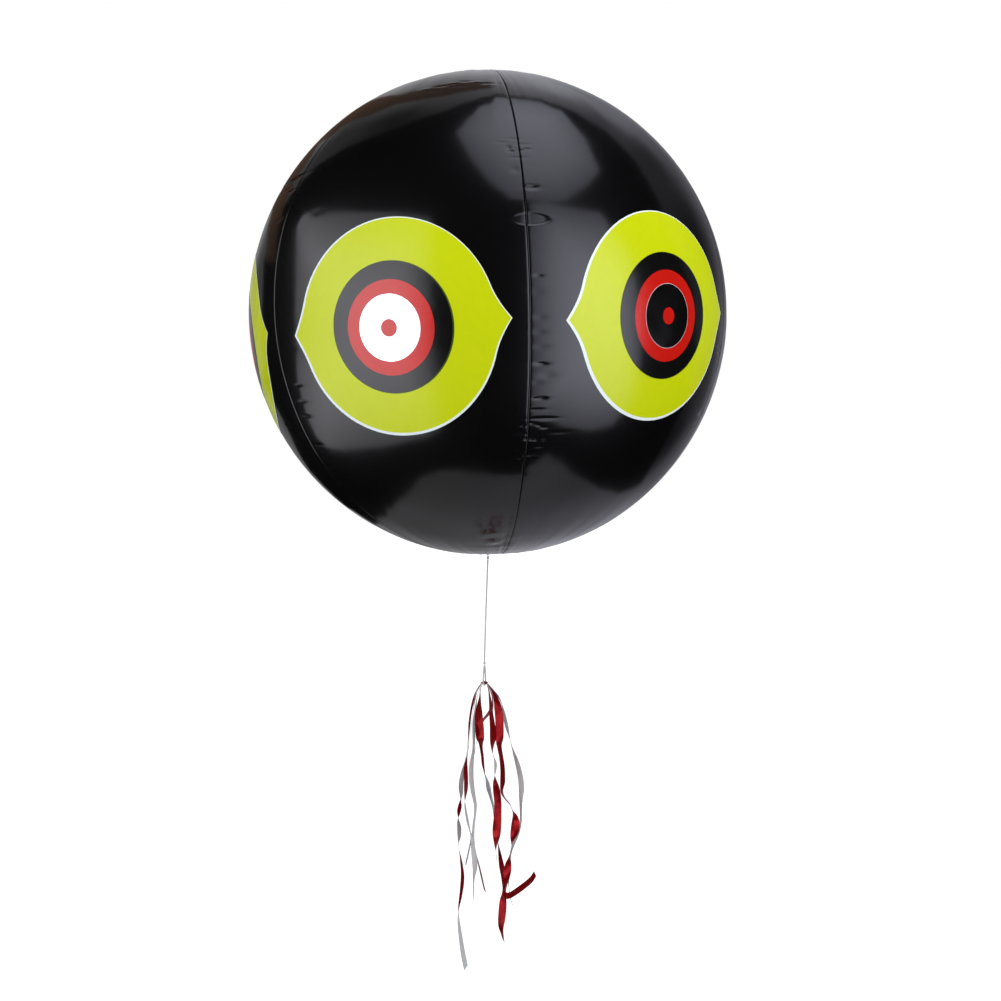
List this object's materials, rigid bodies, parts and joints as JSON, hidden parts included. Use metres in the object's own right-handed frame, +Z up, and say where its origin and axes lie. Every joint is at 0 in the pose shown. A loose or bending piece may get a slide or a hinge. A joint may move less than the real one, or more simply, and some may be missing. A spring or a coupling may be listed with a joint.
{
  "type": "bird scare balloon",
  "caption": "Inflatable black ball with large printed scare eyes, a tab to hang it by, an air valve, and a string with a tassel of red foil strips.",
  "frame": {"origin": "middle of the hole in the hanging tab, on top of the ball", "axes": "+Z up, from the tassel through the ball to the tab; -Y towards the viewer of the picture; +X to the right"},
  "size_m": [0.4011, 0.401, 0.7928],
  "materials": {
    "black_pvc": "glossy black inflated film",
    "smoke_pvc": "glossy smoke tinted film",
    "lime_ink": "glossy lime print",
    "black_ink": "glossy black print",
    "red_ink": "glossy red print",
    "mirror_film": "mirror film",
    "valve_pvc": "soft moulded vinyl, satin",
    "white_string": "twisted string",
    "red_foil": "metallised foil, red on the outside and silver inside"
  },
  "bodies": {
    "hanger": {"hang_tab": "smoke_pvc"},
    "ball": {"gore_1": "black_pvc", "gore_2": "black_pvc", "gore_3": "black_pvc", "gore_4": "black_pvc", "gore_5": "black_pvc", "gore_6": "black_pvc", "eye_1_lime_print": "lime_ink", "eye_1_black_ring": "black_ink", "eye_1_red_ring": "red_ink", "eye_1_mirror_disc": "mirror_film", "eye_1_red_dot": "red_ink", "eye_2_lime_print": "lime_ink", "eye_2_black_ring": "black_ink", "eye_2_red_ring": "red_ink", "eye_2_mirror_disc": "mirror_film", "eye_2_red_dot": "red_ink", "eye_3_lime_print": "lime_ink", "eye_3_black_ring": "black_ink", "eye_3_red_ring": "red_ink", "eye_3_mirror_disc": "mirror_film", "eye_3_red_dot": "red_ink", "eye_4_lime_print": "lime_ink", "eye_4_black_ring": "black_ink", "eye_4_red_ring": "red_ink", "eye_4_mirror_disc": "mirror_film", "eye_4_red_dot": "red_ink", "eye_5_lime_print": "lime_ink", "eye_5_black_ring": "black_ink", "eye_5_red_ring": "red_ink", "eye_5_mirror_disc": "mirror_film", "eye_5_red_dot": "red_ink", "eye_6_lime_print": "lime_ink", "eye_6_black_ring": "black_ink", "eye_6_red_ring": "red_ink", "eye_6_mirror_disc": "mirror_film", "eye_6_red_dot": "red_ink", "top_patch": "smoke_pvc", "bottom_patch": "smoke_pvc", "valve_flange": "valve_pvc", "string_eye": "smoke_pvc"},
    "stem": {"valve_stem": "valve_pvc", "valve_strap": "valve_pvc"},
    "plug": {"valve_plug": "valve_pvc"},
    "flap": {"valve_flap": "valve_pvc"},
    "string": {"string_ring": "white_string", "string_knot": "white_string", "string": "white_string", "tassel_knot": "white_string", "tassel_loop": "white_string"},
    "tassel": {"foil_strip_1": "red_foil", "foil_strip_2": "red_foil", "foil_strip_3": "red_foil", "foil_strip_4": "red_foil"}
  },
  "joints": [
    {"name": "ball_swing", "type": "hinge", "parent": "hanger", "child": "ball", "pos_m": [0, 0, -0.00465], "axis": [1, 0, 0], "range_deg": [-60, 60]},
    {"name": "stem_slide", "type": "slide", "parent": "ball", "child": "stem", "axis": [0.2146, 0.5979, 0.7723], "range_m": [0, 0.012]},
    {"name": "plug_pull", "type": "slide", "parent": "stem", "child": "plug", "axis": [0.2146, 0.5979, 0.7723], "range_m": [0, 0.01]},
    {"name": "flap_open", "type": "hinge", "parent": "stem", "child": "flap", "pos_m": [0.04349, 0.10754, -0.06292], "axis": [-0.2992, -0.7125, 0.6347], "range_deg": [0, 60]},
    {"name": "string_swing", "type": "hinge", "parent": "ball", "child": "string", "pos_m": [0, 0, -0.40535], "axis": [1, 0, 0], "range_deg": [-60, 60]},
    {"name": "tassel_swing", "type": "hinge", "parent": "string", "child": "tassel", "pos_m": [-0.0028, 0, -0.52355], "axis": [0, 1, 0], "range_deg": [-60, 60]}
  ]
}
